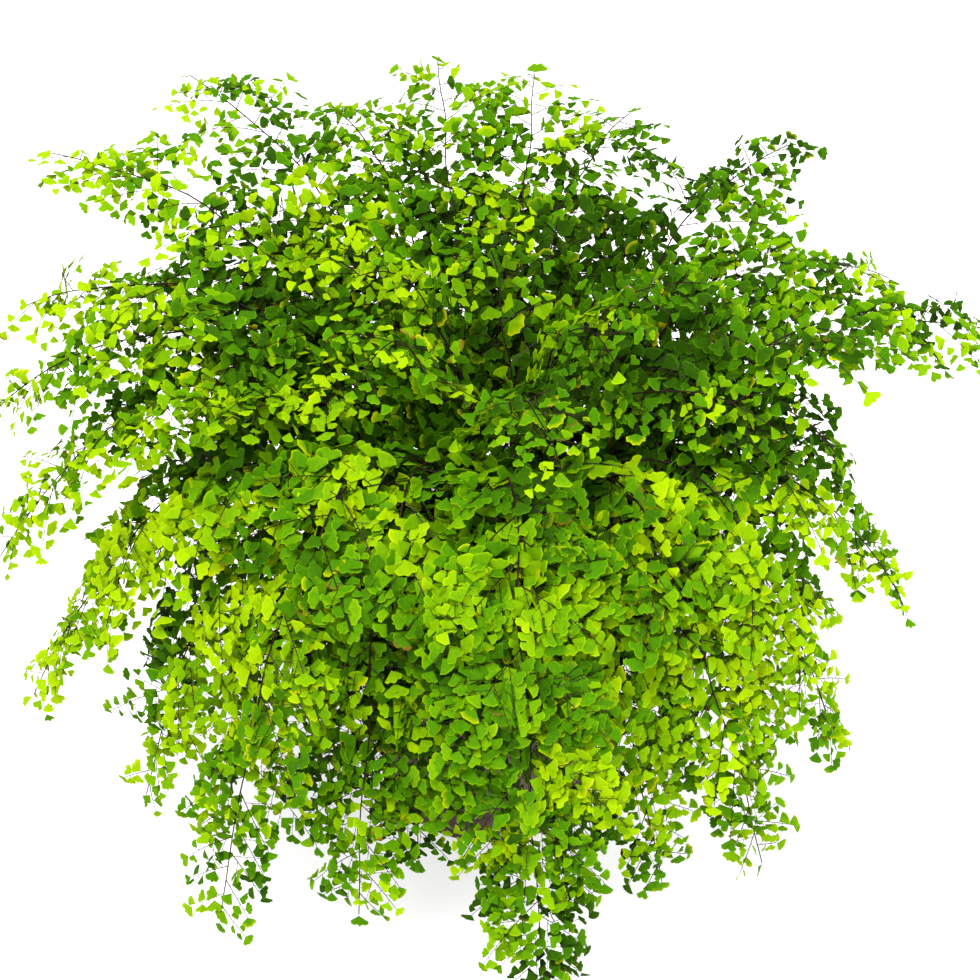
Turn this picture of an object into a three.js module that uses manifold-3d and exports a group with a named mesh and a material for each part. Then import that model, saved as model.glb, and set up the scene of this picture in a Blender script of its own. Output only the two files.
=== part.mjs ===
// Potted maidenhair fern: a clay pot, the potting soil in it, and one solid for each frond.
// Millimetres, +Z up. The origin is the centre of the pot's underside.
// A frond is a thin wiry stalk that rises from the soil, arches over and carries side branches.
// Each branch is one thin arched blade whose outline is cut to the rib into fan-shaped leaflets.

import * as THREE from "three";
import { mergeVertices } from "three/addons/utils/BufferGeometryUtils.js";
import Module from "manifold-3d";

const wasm = await Module();
wasm.setup();

// Pot and soil
const POT_HEIGHT = 130;
const POT_BASE_RADIUS = 50;
const POT_RIM_RADIUS = 76;
const POT_WALL = 6;
const POT_FLOOR = 8;
const COLLAR_HEIGHT = 27;
const COLLAR_STEP = 4;
const POT_SIDES = 24;
const DRAIN_HOLES = 3;
const DRAIN_RADIUS = 5;
const DRAIN_CIRCLE = 22;
const DRAIN_SIDES = 8;
const SOIL_BELOW_RIM = 12;
const SOIL_DOME = 5;
const SOIL_TOP = POT_HEIGHT - SOIL_BELOW_RIM;

// Distances that keep one piece clear of the next, and the one under which two corners are the same corner
const MERGE_DISTANCE = 1e-3;
const SEAT_GAP = 0.3;
const CLEARANCE = 0.5;
const FLOOR_CLEARANCE = 5;

// Stalks
const STALK_RADIUS = 1.2;
const STALK_TIP_RADIUS = 0.95;
const STALK_CORNERS = [30, 150, 270];
const ROOT_DEPTH = 16;
const HOLE_RADIUS = 2.1;
const HOLE_SIDES = 4;
const CROWN_RADIUS = 46;

// Leafy branches
const BLADE_THICKNESS = 0.8;
const RIB_HALF_WIDTH = 0.75;
const NECK_HALF_WIDTH = 1.0;
const LEAFLET_LENGTH = 13;
const LEAFLET_LEAN = 62;
const LEAFLET_SPREAD = 44;
const LEAFLET_SHOULDER = 0.9;
const LEAFLET_STEP = 0.56;
const LEAFLET_TAPER = 0.3;
const BLADE_CUPPING = 0.01;
const BRANCH_BEND_RADIUS = 85;
const BRANCH_ROOT = 1.5;
const JOINT_LIFT = 0.6;
const BRANCH_ANGLE = 58;

// The fronds that reach furthest, counter-clockwise from the right. A row holds the azimuth in degrees, the
// distance of the tip from the axis, the height of the arch's middle and the height of the tip. Heights are
// above the soil.
const REACHING_FRONDS = [
  [6, 252, 145, 142],
  [22, 218, 156, 142],
  [44, 215, 160, 183],
  [68, 196, 161, 185],
  [83, 192, 164, 204],
  [98, 198, 170, 208],
  [114, 208, 162, 186],
  [131, 238, 168, 208],
  [152, 252, 166, 194],
  [166, 242, 150, 138],
  [175, 248, 140, 100],
  [185, 244, 130, 42],
  [194, 234, 106, -18],
  [212, 198, 112, -42],
  [231, 206, 118, -76],
  [250, 182, 126, -62],
  [277, 202, 132, -88],
  [299, 170, 122, -60],
  [316, 184, 118, -66],
  [332, 192, 112, -26],
  [348, 206, 108, 34],
  [357, 178, 128, 84],
];

// Shorter fronds that hang over the pot, at the back and then at the front, in the same terms.
const HANGING_FRONDS = [
  [28, 185, 102, 0],
  [55, 190, 105, -28],
  [82, 180, 98, -50],
  [108, 190, 104, -34],
  [135, 198, 106, -5],
  [160, 190, 94, -25],
  [219, 150, 100, -4],
  [238, 136, 92, -26],
  [257, 152, 108, -46],
  [273, 124, 84, -14],
  [290, 142, 108, -42],
  [307, 134, 88, -18],
  [325, 150, 98, -8],
];

// Young fronds that fill the middle of the dome, turned round by the golden angle. Their tips stay a little
// under a dome of this height and radius.
const INNER_FRONDS = 10;
const GOLDEN_ANGLE = 137.508;
const INNER_TURN = 180;
const INNER_REACH = [40, 145];
const INNER_ROOT = [4, 17];
const DOME_HEIGHT = 228;
const DOME_RADIUS = 240;
const UNDER_DOME = [5, 35];
const INNER_CREST = [0.86, 0.94];
const INNER_CREST_LIMIT = 190;

// How far from the axis the other fronds are rooted, by turns: the low ones outermost.
const LOW_ROOTS = [40, 45];
const HIGH_ROOTS = [34, 26];

// One row for each size of frond: the leaflets of each side branch and the bare rib before them, the leaflets
// of the end branch, and where along the stalk the leafy part starts.
const LARGE = { side: [5, 4, 4], bare: [26, 18, 9], end: 5, start: 0.4 };
const MIDDLE = { side: [5, 4], bare: [20, 10], end: 4, start: 0.42 };
const SMALL = { side: [4, 4], bare: [18, 9], end: 4, start: 0.5 };
const END_BARE = 6;
const LEAST_BEND = 0.12;

// What varies from frond to frond, and how often a branch is turned anew to find room.
const SEED = 8;
const SWAY = 12;
const SWING = 18;
const TILT = 14;
const BRANCH_SLIDE = 0.06;
const NODE_MARGIN = 0.03;
const BRANCH_TRIES = 60;

const GREEN = 0x6fae12;
const CLAY = 0xb9694a;
const SOIL_BROWN = 0x3a2a1e;

const radians = THREE.MathUtils.degToRad;

// The minimal standard generator, so that every run draws the same numbers.
function drawer(seed) {
  let state = seed;
  return (low, high) => {
    state = (state * 16807) % 2147483647;
    return low + ((high - low) * state) / 2147483647;
  };
}

function bare(geometry) {
  const copy = geometry.clone();
  copy.deleteAttribute("normal");
  copy.deleteAttribute("uv");
  return mergeVertices(copy, MERGE_DISTANCE);
}

function toSolid(geometry) {
  const merged = bare(geometry);
  const mesh = new wasm.Mesh({
    numProp: 3,
    vertProperties: new Float32Array(merged.attributes.position.array),
    triVerts: new Uint32Array(merged.index.array),
  });
  return new wasm.Manifold(mesh);
}

function toGeometry(solid) {
  const { vertProperties, triVerts } = solid.getMesh();
  const geometry = new THREE.BufferGeometry();
  geometry.setAttribute("position", new THREE.BufferAttribute(vertProperties, 3));
  geometry.setIndex(new THREE.BufferAttribute(triVerts, 1));
  geometry.computeVertexNormals();
  return geometry;
}

function standing(geometry) {
  return geometry.rotateX(Math.PI / 2);
}

function lathe(profile, sides) {
  return standing(new THREE.LatheGeometry(profile.map(([r, z]) => new THREE.Vector2(r, z)), sides));
}

// Pot: a tapered wall with a collar, and three drain holes round a solid centre.
function makePot() {
  const collarFoot = POT_HEIGHT - COLLAR_HEIGHT;
  const wallTop = POT_RIM_RADIUS - COLLAR_STEP;
  const innerBase = POT_BASE_RADIUS - POT_WALL;
  const shell = lathe(
    [
      [0, 0],
      [POT_BASE_RADIUS, 0],
      [wallTop, collarFoot],
      [POT_RIM_RADIUS, collarFoot + 2],
      [POT_RIM_RADIUS, POT_HEIGHT - 1.5],
      [POT_RIM_RADIUS - 1.5, POT_HEIGHT],
      [POT_RIM_RADIUS - POT_WALL, POT_HEIGHT],
      [innerBase, POT_FLOOR],
      [0, POT_FLOOR],
    ],
    POT_SIDES,
  );
  let pot = toSolid(shell);
  for (let i = 0; i < DRAIN_HOLES; i += 1) {
    const turn = (i / DRAIN_HOLES) * 2 * Math.PI;
    const drill = new THREE.CylinderGeometry(DRAIN_RADIUS, DRAIN_RADIUS, 4 * POT_FLOOR, DRAIN_SIDES);
    const hole = standing(drill);
    hole.translate(DRAIN_CIRCLE * Math.cos(turn), DRAIN_CIRCLE * Math.sin(turn), 0);
    pot = pot.subtract(toSolid(hole));
  }
  return pot;
}

// Soil: it fills the pot up to a low dome, and has a plain hole for each stalk.
function makeSoil(stalks) {
  const slope = (POT_RIM_RADIUS - POT_BASE_RADIUS) / (POT_HEIGHT - POT_FLOOR);
  const bottom = POT_FLOOR + SEAT_GAP;
  const radiusAt = (z) => POT_BASE_RADIUS - POT_WALL + slope * (z - POT_FLOOR) - 2 * SEAT_GAP;
  const filling = lathe(
    [
      [0, bottom],
      [radiusAt(bottom), bottom],
      [radiusAt(SOIL_TOP - SOIL_DOME), SOIL_TOP - SOIL_DOME],
      [CROWN_RADIUS, SOIL_TOP],
      [0, SOIL_TOP],
    ],
    POT_SIDES,
  );
  const cutters = stalks.map(({ foot, heading }) => {
    const drill = new THREE.CylinderGeometry(HOLE_RADIUS, HOLE_RADIUS, 2 * ROOT_DEPTH, HOLE_SIDES);
    const cutter = standing(drill);
    const turn = new THREE.Quaternion().setFromUnitVectors(new THREE.Vector3(0, 0, 1), heading);
    const centre = foot.clone().addScaledVector(heading, ROOT_DEPTH - SEAT_GAP);
    cutter.applyQuaternion(turn).translate(centre.x, centre.y, centre.z);
    return toSolid(cutter);
  });
  return cutters.reduce((soil, cutter) => soil.subtract(cutter), toSolid(filling));
}

// The line of a frond: it starts in the crown, climbs, arches over and ends at its tip.
class FrondLine {
  constructor([azimuth, reach, crest, tip], rootRadius, sway) {
    this.outward = new THREE.Vector3(Math.cos(radians(azimuth)), Math.sin(radians(azimuth)), 0);
    this.across = new THREE.Vector3(-this.outward.y, this.outward.x, 0);
    this.sway = sway;
    const climb = (crest - tip / 8) / 0.75; // the curve's middle then stands at the crest
    const span = reach - rootRadius;
    this.curve = new THREE.CubicBezierCurve3(
      this.at(rootRadius, 0),
      this.at(rootRadius + 0.1 * span, climb * 0.95),
      this.at(rootRadius + 0.62 * span, climb * 1.05),
      this.at(reach, tip),
    );
    this.length = this.curve.getLength();
  }

  at(radius, height) {
    return this.outward.clone().multiplyScalar(radius).setZ(SOIL_TOP + height);
  }

  // Place and directions at a share of the length: along the stalk, to its side, and out of its upper face.
  frame(share) {
    const along = this.curve.getTangentAt(share);
    along.addScaledVector(this.across, (this.sway * Math.PI * Math.cos(Math.PI * share)) / this.length);
    along.normalize();
    const upper = along.clone().cross(this.across).normalize();
    const side = upper.clone().cross(along);
    const point = this.curve.getPointAt(share);
    point.addScaledVector(this.across, this.sway * Math.sin(Math.PI * share));
    return { point, along, side, upper };
  }
}

// A box round some points, turned to the given axes, for the test that keeps fronds clear of each other.
function boxRound(points, axes) {
  const low = axes.map((axis) => Math.min(...points.map((p) => p.dot(axis))));
  const high = axes.map((axis) => Math.max(...points.map((p) => p.dot(axis))));
  const centre = new THREE.Vector3();
  axes.forEach((axis, i) => centre.addScaledVector(axis, (low[i] + high[i]) / 2));
  const half = axes.map((_, i) => (high[i] - low[i]) / 2);
  return { axes, centre, half, radius: Math.hypot(...half) };
}

function clear(a, b) {
  const between = b.centre.clone().sub(a.centre);
  if (between.length() > a.radius + b.radius + CLEARANCE) return true;
  const tests = [...a.axes, ...b.axes];
  for (const p of a.axes) for (const q of b.axes) tests.push(p.clone().cross(q));
  return tests.some((test) => {
    if (test.lengthSq() < 1e-6) return false;
    const axis = test.clone().normalize();
    const extent = ({ axes, half }) => {
      return axes.reduce((sum, side, i) => sum + half[i] * Math.abs(side.dot(axis)), 0);
    };
    return Math.abs(between.dot(axis)) > extent(a) + extent(b) + CLEARANCE;
  });
}

// True where a box stays above the floor and outside the pot.
function clearOfPot(box) {
  const down = box.axes.reduce((sum, side, i) => sum + box.half[i] * Math.abs(side.z), 0);
  const inward = box.axes.reduce((sum, side, i) => sum + box.half[i] * Math.hypot(side.x, side.y), 0);
  if (box.centre.z - down < FLOOR_CLEARANCE) return false;
  const radius = Math.hypot(box.centre.x, box.centre.y) - inward;
  return box.centre.z - down > POT_HEIGHT + CLEARANCE || radius > POT_RIM_RADIUS + CLEARANCE;
}

// The stalk: a tapered three-sided tube with a ring at each of the given frames. One side faces up.
function makeStalk(frames) {
  const rings = frames.map(({ point, side, upper }, i) => {
    const radius = THREE.MathUtils.lerp(STALK_RADIUS, STALK_TIP_RADIUS, i / (frames.length - 1));
    return STALK_CORNERS.map((degrees) =>
      point
        .clone()
        .addScaledVector(side, radius * Math.cos(radians(degrees)))
        .addScaledVector(upper, radius * Math.sin(radians(degrees))),
    );
  });
  const boxes = frames.slice(1).map((frame, i) => {
    const along = frame.point.clone().sub(frames[i].point).normalize();
    const upper = frame.upper.clone().addScaledVector(along, -frame.upper.dot(along)).normalize();
    return boxRound([...rings[i], ...rings[i + 1]], [along, upper, along.clone().cross(upper)]);
  });
  return { rings, boxes };
}

// The outline of a leafy branch, flat, with its rib along +X. Fans stand to the left and right by turns, and
// one stands at the end.
function branchOutline(count, leafletLength, bareLength) {
  const fans = [];
  let x = bareLength;
  for (let i = 0; i < count; i += 1) {
    const length = leafletLength * (1 - (LEAFLET_TAPER * i) / count);
    const hand = i === count - 1 ? 0 : i % 2 === 0 ? 1 : -1;
    fans.push({ x, hand, length });
    x += LEAFLET_STEP * length;
  }
  const rim = (fan, degrees, share) => {
    const angle = radians(degrees);
    const r = fan.length * share;
    return new THREE.Vector2(fan.x + r * Math.cos(angle), r * Math.sin(angle) + RIB_HALF_WIDTH * fan.hand);
  };
  const fanPoints = (fan) => {
    const lean = LEAFLET_LEAN * fan.hand;
    const neck = NECK_HALF_WIDTH;
    return [
      new THREE.Vector2(fan.x + fan.hand * neck, (fan.hand || -1) * RIB_HALF_WIDTH),
      rim(fan, lean - LEAFLET_SPREAD, LEAFLET_SHOULDER),
      rim(fan, lean, 1),
      rim(fan, lean + LEAFLET_SPREAD, LEAFLET_SHOULDER),
      new THREE.Vector2(fan.x - fan.hand * neck, (fan.hand || 1) * RIB_HALF_WIDTH),
    ];
  };
  const right = fans.filter((fan) => fan.hand < 0);
  const left = fans.filter((fan) => fan.hand > 0).reverse();
  const end = fans[fans.length - 1];
  const outline = [
    new THREE.Vector2(BRANCH_ROOT, -RIB_HALF_WIDTH),
    ...right.flatMap(fanPoints),
    ...fanPoints(end),
    ...left.flatMap(fanPoints),
    new THREE.Vector2(BRANCH_ROOT, RIB_HALF_WIDTH),
  ];
  return { outline, fans: fans.map((fan) => ({ ...fan, points: fanPoints(fan) })) };
}

// A leafy branch in place: its blade bends down along its length and a little to each side.
function makeBranch({ point, along, upper }, plan) {
  const { outline, fans } = branchOutline(plan.count, plan.leaflet, plan.bare);
  const across = upper.clone().cross(along);
  const bent = (x, y, z) => {
    const turn = x / plan.bend;
    const lift = plan.bend + z - BLADE_CUPPING * y * y;
    return point
      .clone()
      .addScaledVector(along, lift * Math.sin(turn))
      .addScaledVector(upper, lift * Math.cos(turn) - plan.bend)
      .addScaledVector(across, y);
  };
  const half = BLADE_THICKNESS / 2;
  const top = outline.map((p) => bent(p.x, p.y, half));
  const bottom = outline.map((p) => bent(p.x, p.y, -half));
  const boxOf = (points, x) => {
    const turn = x / plan.bend;
    const forward = along.clone().multiplyScalar(Math.cos(turn)).addScaledVector(upper, -Math.sin(turn));
    const outer = upper.clone().multiplyScalar(Math.cos(turn)).addScaledVector(along, Math.sin(turn));
    const corners = points.flatMap((p) => [bent(p.x, p.y, half), bent(p.x, p.y, -half)]);
    return boxRound(corners, [forward, outer, across]);
  };
  const forwardHalf = Math.cos(radians(LEAFLET_LEAN)) / 2;
  const leafletBoxes = fans.map((fan) => boxOf(fan.points, fan.x + forwardHalf * fan.length));
  const ribBoxes = fans.map((fan, i) => {
    const start = i ? fans[i - 1].x : 0;
    const edge = (x, hand) => new THREE.Vector2(x, hand * RIB_HALF_WIDTH);
    const corners = [edge(start, -1), edge(start, 1), edge(fan.x, -1), edge(fan.x, 1)];
    return boxOf(corners, (start + fan.x) / 2);
  });
  return { outline, top, bottom, leafletBoxes, ribBoxes };
}

// The skin of one frond, grown piece by piece. A hole left in the stalk's side takes the root of a branch.
class Skin {
  constructor() {
    this.points = [];
    this.faces = [];
  }

  add(points) {
    const first = this.points.length;
    this.points.push(...points);
    return points.map((_, i) => first + i);
  }

  // Both faces and the edge of a blade. The four corners of its open root come back.
  addBlade({ outline, top, bottom }) {
    const upper = this.add(top);
    const lower = this.add(bottom);
    for (const [i, j, k] of THREE.ShapeUtils.triangulateShape(outline, [])) {
      this.faces.push(upper[i], upper[j], upper[k], lower[k], lower[j], lower[i]);
    }
    const last = outline.length - 1;
    for (let i = 0; i < last; i += 1) {
      this.faces.push(lower[i], lower[i + 1], upper[i + 1], lower[i], upper[i + 1], upper[i]);
    }
    return [upper[0], lower[0], lower[last], upper[last]];
  }

  // A side of the stalk, whole or as a frame round the root of a branch.
  addSide(corners, root) {
    if (!root) {
      const [a, b, c, d] = corners;
      this.faces.push(a, b, c, a, c, d);
      return;
    }
    const spread = (turn) =>
      corners.reduce((sum, q, i) => sum + this.points[q].distanceTo(this.points[root[(i + turn) % 4]]), 0);
    const turn = [0, 1, 2, 3].reduce((best, next) => (spread(next) < spread(best) ? next : best));
    for (let i = 0; i < 4; i += 1) {
      const j = (i + 1) % 4;
      const near = root[(i + turn) % 4];
      const next = root[(j + turn) % 4];
      this.faces.push(corners[i], corners[j], next, corners[i], next, near);
    }
  }

  // The three corners of the stalk's end carried on into the four of the end branch's root.
  addEnd([a, b, c], [topLeft, bottomLeft, bottomRight, topRight]) {
    this.faces.push(a, b, topLeft, a, topLeft, topRight, b, bottomLeft, topLeft, b, c, bottomLeft);
    this.faces.push(c, bottomRight, bottomLeft, c, a, bottomRight, a, topRight, bottomRight);
  }

  geometry() {
    return new THREE.BufferGeometry().setFromPoints(this.points).setIndex(this.faces);
  }
}

// One closed frond: the stalk, the side branches that grow from its lower sides, and the end branch.
function makeFrond(frond) {
  const skin = new Skin();
  const rings = frond.stalk.rings.map((ring) => skin.add(ring));
  skin.faces.push(rings[0][0], rings[0][2], rings[0][1]);
  for (let i = 0; i + 1 < rings.length; i += 1) {
    for (let side = 0; side < 3; side += 1) {
      const next = (side + 1) % 3;
      const corners = [rings[i][side], rings[i][next], rings[i + 1][next], rings[i + 1][side]];
      const branch = frond.branches.find((one) => one.segment === i && one.side === side);
      skin.addSide(corners, branch && skin.addBlade(branch));
    }
  }
  skin.addEnd(rings[rings.length - 1], skin.addBlade(frond.endBranch));
  return skin.geometry();
}

const fronds = [];
const missing = [];

// True where a branch keeps off every other frond and branch, its own stalk, the pot and the floor.
function fits(branch, owner) {
  const boxes = [...branch.leafletBoxes, ...branch.ribBoxes];
  const others = fronds.flatMap((frond) => (frond === owner ? frond.branchBoxes : frond.boxes));
  if (!boxes.every((box) => clearOfPot(box) && others.every((other) => clear(box, other)))) return false;
  const ownStalk = branch.segment === undefined ? [] : owner.stalk.boxes;
  return branch.leafletBoxes.every((box) => ownStalk.every((other) => clear(box, other)));
}

// The length that an end branch of so many leaflets takes. The leaflets get a little smaller towards the tip.
function endLength(count) {
  const smaller = 1 - LEAFLET_TAPER / 2;
  return END_BARE + LEAFLET_LENGTH * smaller * (1 + LEAFLET_STEP * (count - 1));
}

function plantFrond(row) {
  const { shape, rootRadius, sway, size } = row;
  const line = new FrondLine(shape, rootRadius, sway);
  const leafyEnd = 1 - endLength(size.end) / line.length;
  const nodes = size.side.map((_, i) => size.start + ((leafyEnd - size.start) * i) / size.side.length);
  const between = [...nodes.slice(1), leafyEnd].map((next, i) => (next + nodes[i]) / 2);
  const stops = [0, size.start / 2, ...between, leafyEnd];
  const frames = stops.map((share) => line.frame(share));
  const heading = frames[0].along;
  const foot = frames[0].point.clone().addScaledVector(heading, -ROOT_DEPTH);
  const stalk = makeStalk([{ ...frames[0], point: foot }, ...frames]);
  const blocked = fronds.find((other) => stalk.boxes.some((box) => other.boxes.some((b) => !clear(box, b))));
  if (blocked) throw new Error(row.name + " runs into " + blocked.name);
  const frond = { ...row, line, nodes, stops, foot, heading, stalk, branches: [], branchBoxes: [] };
  fronds.push({ ...frond, boxes: [...stalk.boxes] });
}

// Where a side branch can start: on the middle of one of the stalk's lower sides, with its root square to it.
function rootOn(frond, share, hand) {
  const after = frond.stops.findIndex((stop) => stop > share);
  const ahead = (share - frond.stops[after - 1]) / (frond.stops[after] - frond.stops[after - 1]);
  const side = hand > 0 ? 2 : 1;
  const [near, far] = [frond.stalk.rings[after], frond.stalk.rings[after + 1]];
  const [first, second] = [side, (side + 1) % 3].map((k) => near[k].clone().lerp(far[k], ahead));
  const up = hand > 0 ? second.clone().sub(first).normalize() : first.clone().sub(second).normalize();
  const run = far[side].clone().sub(near[side]).normalize();
  const out = up.clone().cross(run).multiplyScalar(hand).normalize();
  const point = first.add(second).multiplyScalar(0.5).addScaledVector(out, JOINT_LIFT);
  const corner = (back, above) =>
    point
      .clone()
      .addScaledVector(run, -hand * back * RIB_HALF_WIDTH)
      .addScaledVector(up, (above * BLADE_THICKNESS) / 2);
  const corners = { top: [corner(-1, 1), corner(1, 1)], bottom: [corner(-1, -1), corner(1, -1)] };
  return { segment: after, side, frame: { ...frond.line.frame(share), point }, corners };
}

// Tries a branch turned a little differently each time, until it clears its neighbours.
function findBranch(frond, rootAt, headingOf, plan, draw) {
  for (let attempt = 0; attempt < BRANCH_TRIES; attempt += 1) {
    const loose = attempt / BRANCH_TRIES;
    const { frame, corners, ...place } = rootAt(loose);
    const along = headingOf(frame, draw(-SWING, SWING) * (0.4 + 2 * loose));
    const upper = frame.upper.clone().addScaledVector(along, -frame.upper.dot(along)).normalize();
    upper.applyAxisAngle(along, radians(draw(-TILT, TILT) * (0.5 + 3 * loose)));
    const branch = { ...place, ...makeBranch({ point: frame.point, along, upper }, plan) };
    if (!fits(branch, frond)) continue;
    if (corners) {
      branch.top.splice(0, 1, corners.top[0]);
      branch.top.splice(-1, 1, corners.top[1]);
      branch.bottom.splice(0, 1, corners.bottom[0]);
      branch.bottom.splice(-1, 1, corners.bottom[1]);
    }
    const boxes = [...branch.leafletBoxes, ...branch.ribBoxes];
    frond.boxes.push(...boxes);
    frond.branchBoxes.push(...boxes);
    return branch;
  }
  return null;
}

function addEndBranch(frond, draw) {
  const frame = frond.line.frame(frond.stops[frond.stops.length - 1]);
  const turn = Math.max(LEAST_BEND, frame.along.angleTo(frond.line.frame(1).along));
  const bend = endLength(frond.size.end) / turn;
  const heading = ({ along, upper }, swing) => along.clone().applyAxisAngle(upper, radians(swing / 2));
  for (let count = frond.size.end; count > 1 && !frond.endBranch; count -= 1) {
    const plan = { count, leaflet: LEAFLET_LENGTH, bare: END_BARE, bend };
    frond.endBranch = findBranch(frond, () => ({ frame }), heading, plan, draw);
  }
  if (!frond.endBranch) throw new Error(frond.name + " has no room for its end");
}

// A side branch goes to its own hand where it can, else to the other, else it has fewer leaflets.
function addSideBranch(frond, index, ownHand, draw) {
  const [low, high] = frond.stops.slice(index + 1, index + 3);
  const leaflet = LEAFLET_LENGTH * draw(0.9, 1.1);
  const bend = BRANCH_BEND_RADIUS * draw(0.8, 1.3);
  const count = frond.size.side[index];
  const choices = [[ownHand, count], [-ownHand, count], [ownHand, count - 1], [-ownHand, count - 1]];
  const placed = choices.some(([hand, leaflets]) => {
    const rootAt = (loose) => {
      const share = frond.nodes[index] + draw(-BRANCH_SLIDE, BRANCH_SLIDE) * loose;
      return rootOn(frond, THREE.MathUtils.clamp(share, low + NODE_MARGIN, high - NODE_MARGIN), hand);
    };
    const heading = ({ along, side }, swing) => {
      const angle = radians(BRANCH_ANGLE + swing);
      return along.clone().multiplyScalar(Math.cos(angle)).addScaledVector(side, hand * Math.sin(angle));
    };
    const plan = { count: leaflets, leaflet, bare: frond.size.bare[index], bend };
    const branch = findBranch(frond, rootAt, heading, plan, draw);
    if (branch) frond.branches.push(branch);
    return branch;
  });
  if (!placed) missing.push(frond.name + " side " + index);
}

function domeHeight(radius) {
  return DOME_HEIGHT * (1 - (radius / DOME_RADIUS) ** 2);
}

function frondRows(draw) {
  const rows = [];
  const addRow = (kind, i, shape, size, rootRadius) => {
    const name = kind + "_frond_" + String(i + 1).padStart(2, "0");
    rows.push({ name, shape, size, rootRadius, sway: draw(-SWAY, SWAY) });
  };
  REACHING_FRONDS.forEach((shape, i) => addRow("outer", i, shape, LARGE, HIGH_ROOTS[i % 2]));
  HANGING_FRONDS.forEach((shape, i) => addRow("hanging", i, shape, MIDDLE, LOW_ROOTS[i % 2]));
  for (let i = 0; i < INNER_FRONDS; i += 1) {
    const reach = THREE.MathUtils.lerp(...INNER_REACH, Math.sqrt((i + 0.5) / INNER_FRONDS));
    const root = THREE.MathUtils.lerp(...INNER_ROOT, Math.sqrt(i / INNER_FRONDS));
    const tip = domeHeight(reach) - draw(...UNDER_DOME);
    const crest = Math.min(tip + UNDER_DOME[0], INNER_CREST_LIMIT) * draw(...INNER_CREST);
    addRow("inner", i, [GOLDEN_ANGLE * i + INNER_TURN, reach, crest, tip], SMALL, root);
  }
  return rows;
}

const draw = drawer(SEED);
frondRows(draw).forEach(plantFrond);
fronds.forEach((frond) => addEndBranch(frond, draw));
for (let index = 0; index < LARGE.side.length; index += 1) {
  fronds.forEach((frond, i) => {
    const hand = (index + i) % 2 === 0 ? 1 : -1;
    if (index < frond.size.side.length) addSideBranch(frond, index, hand, draw);
  });
}

function named(name, geometry, colour, roughness) {
  const material = new THREE.MeshStandardMaterial({ color: colour, roughness, metalness: 0 });
  const mesh = new THREE.Mesh(geometry, material);
  mesh.name = name;
  return mesh;
}

const fern = new THREE.Group();
fern.add(named("pot", toGeometry(makePot()), CLAY, 0.9));
fern.add(named("soil", toGeometry(makeSoil(fronds)), SOIL_BROWN, 1));
for (const frond of fronds) {
  fern.add(named(frond.name, makeFrond(frond), GREEN, 0.6));
}
if (missing.length) console.log("left out: " + missing.join(", "));

export default fern;
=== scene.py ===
# %% [markdown]
# # A maidenhair fern in a clay pot
# A maidenhair fern is a crown of wiry black stalks that arch over and carry thousands of thin, fan-shaped
# leaflets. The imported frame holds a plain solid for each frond, the pot and the soil. This lesson dresses each
# of them: it follows the same stalk lines, grows fine branches on them, and sets leaflets along every branch.

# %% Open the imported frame
import math

import bmesh
import bpy
import numpy as np
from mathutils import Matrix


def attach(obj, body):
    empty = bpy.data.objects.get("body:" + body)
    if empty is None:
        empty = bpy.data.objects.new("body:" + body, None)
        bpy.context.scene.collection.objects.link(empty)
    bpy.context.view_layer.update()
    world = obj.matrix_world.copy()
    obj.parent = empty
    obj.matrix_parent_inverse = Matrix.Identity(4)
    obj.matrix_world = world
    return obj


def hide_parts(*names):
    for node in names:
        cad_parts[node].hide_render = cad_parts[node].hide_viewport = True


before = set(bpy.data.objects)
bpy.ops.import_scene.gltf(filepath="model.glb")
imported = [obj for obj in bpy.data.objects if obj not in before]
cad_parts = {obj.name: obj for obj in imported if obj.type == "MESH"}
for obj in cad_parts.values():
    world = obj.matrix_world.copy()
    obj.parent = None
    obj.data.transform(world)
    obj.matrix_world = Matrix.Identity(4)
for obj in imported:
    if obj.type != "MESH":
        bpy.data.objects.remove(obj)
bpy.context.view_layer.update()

MM = 0.001
print("nodes:", len(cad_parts))

# %% [markdown]
# ## Small tools for the hand work
# Every operator acts on whatever is selected, so each step first selects one object, and in edit mode just the
# corners it needs. Picking them by their place keeps a step right when the size before it changes.

# %% Selecting and finishing
def only(piece):
    if bpy.context.object and bpy.context.object.mode != "OBJECT":
        bpy.ops.object.mode_set(mode="OBJECT")
    bpy.ops.object.select_all(action="DESELECT")
    piece.select_set(True)
    bpy.context.view_layer.objects.active = piece


def pick(piece, test):
    """In edit mode, selects the corners whose place passes the test."""
    bpy.ops.mesh.select_all(action="DESELECT")
    mesh = bmesh.from_edit_mesh(piece.data)
    for corner in mesh.verts:
        if test(corner.co):
            corner.select_set(True)
    mesh.select_flush_mode()
    bmesh.update_edit_mesh(piece.data)


def apply_modifier(piece, kind, **settings):
    only(piece)
    modifier = piece.modifiers.new(kind.lower(), kind)
    for name, value in settings.items():
        setattr(modifier, name, value)
    bpy.ops.object.modifier_apply(modifier=modifier.name)


def settle(piece):
    """Puts a piece's place, turn and size into its mesh, so that its object sits at the origin."""
    only(piece)
    bpy.ops.object.transform_apply(location=True, rotation=True, scale=True)


def smooth(piece, degrees):
    """Shades a piece softly, but keeps the edges that turn by more than these degrees."""
    only(piece)
    bpy.ops.object.shade_smooth_by_angle(angle=math.radians(degrees))


def enter(piece, material, slot, *nodes):
    """Gives a finished piece its material and its place in the model."""
    piece.data.materials.clear()
    piece.data.materials.append(material)
    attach(piece, "root")
    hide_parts(*nodes)


# %% [markdown]
# ## Node trees in a few words
# A material here is a chain of nodes. It could be clicked together in the shader editor. In a script, a few
# helpers do the same: each makes one node, sets its plain values and links the sockets that it is given, so that
# a material reads as a short list of steps.

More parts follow.
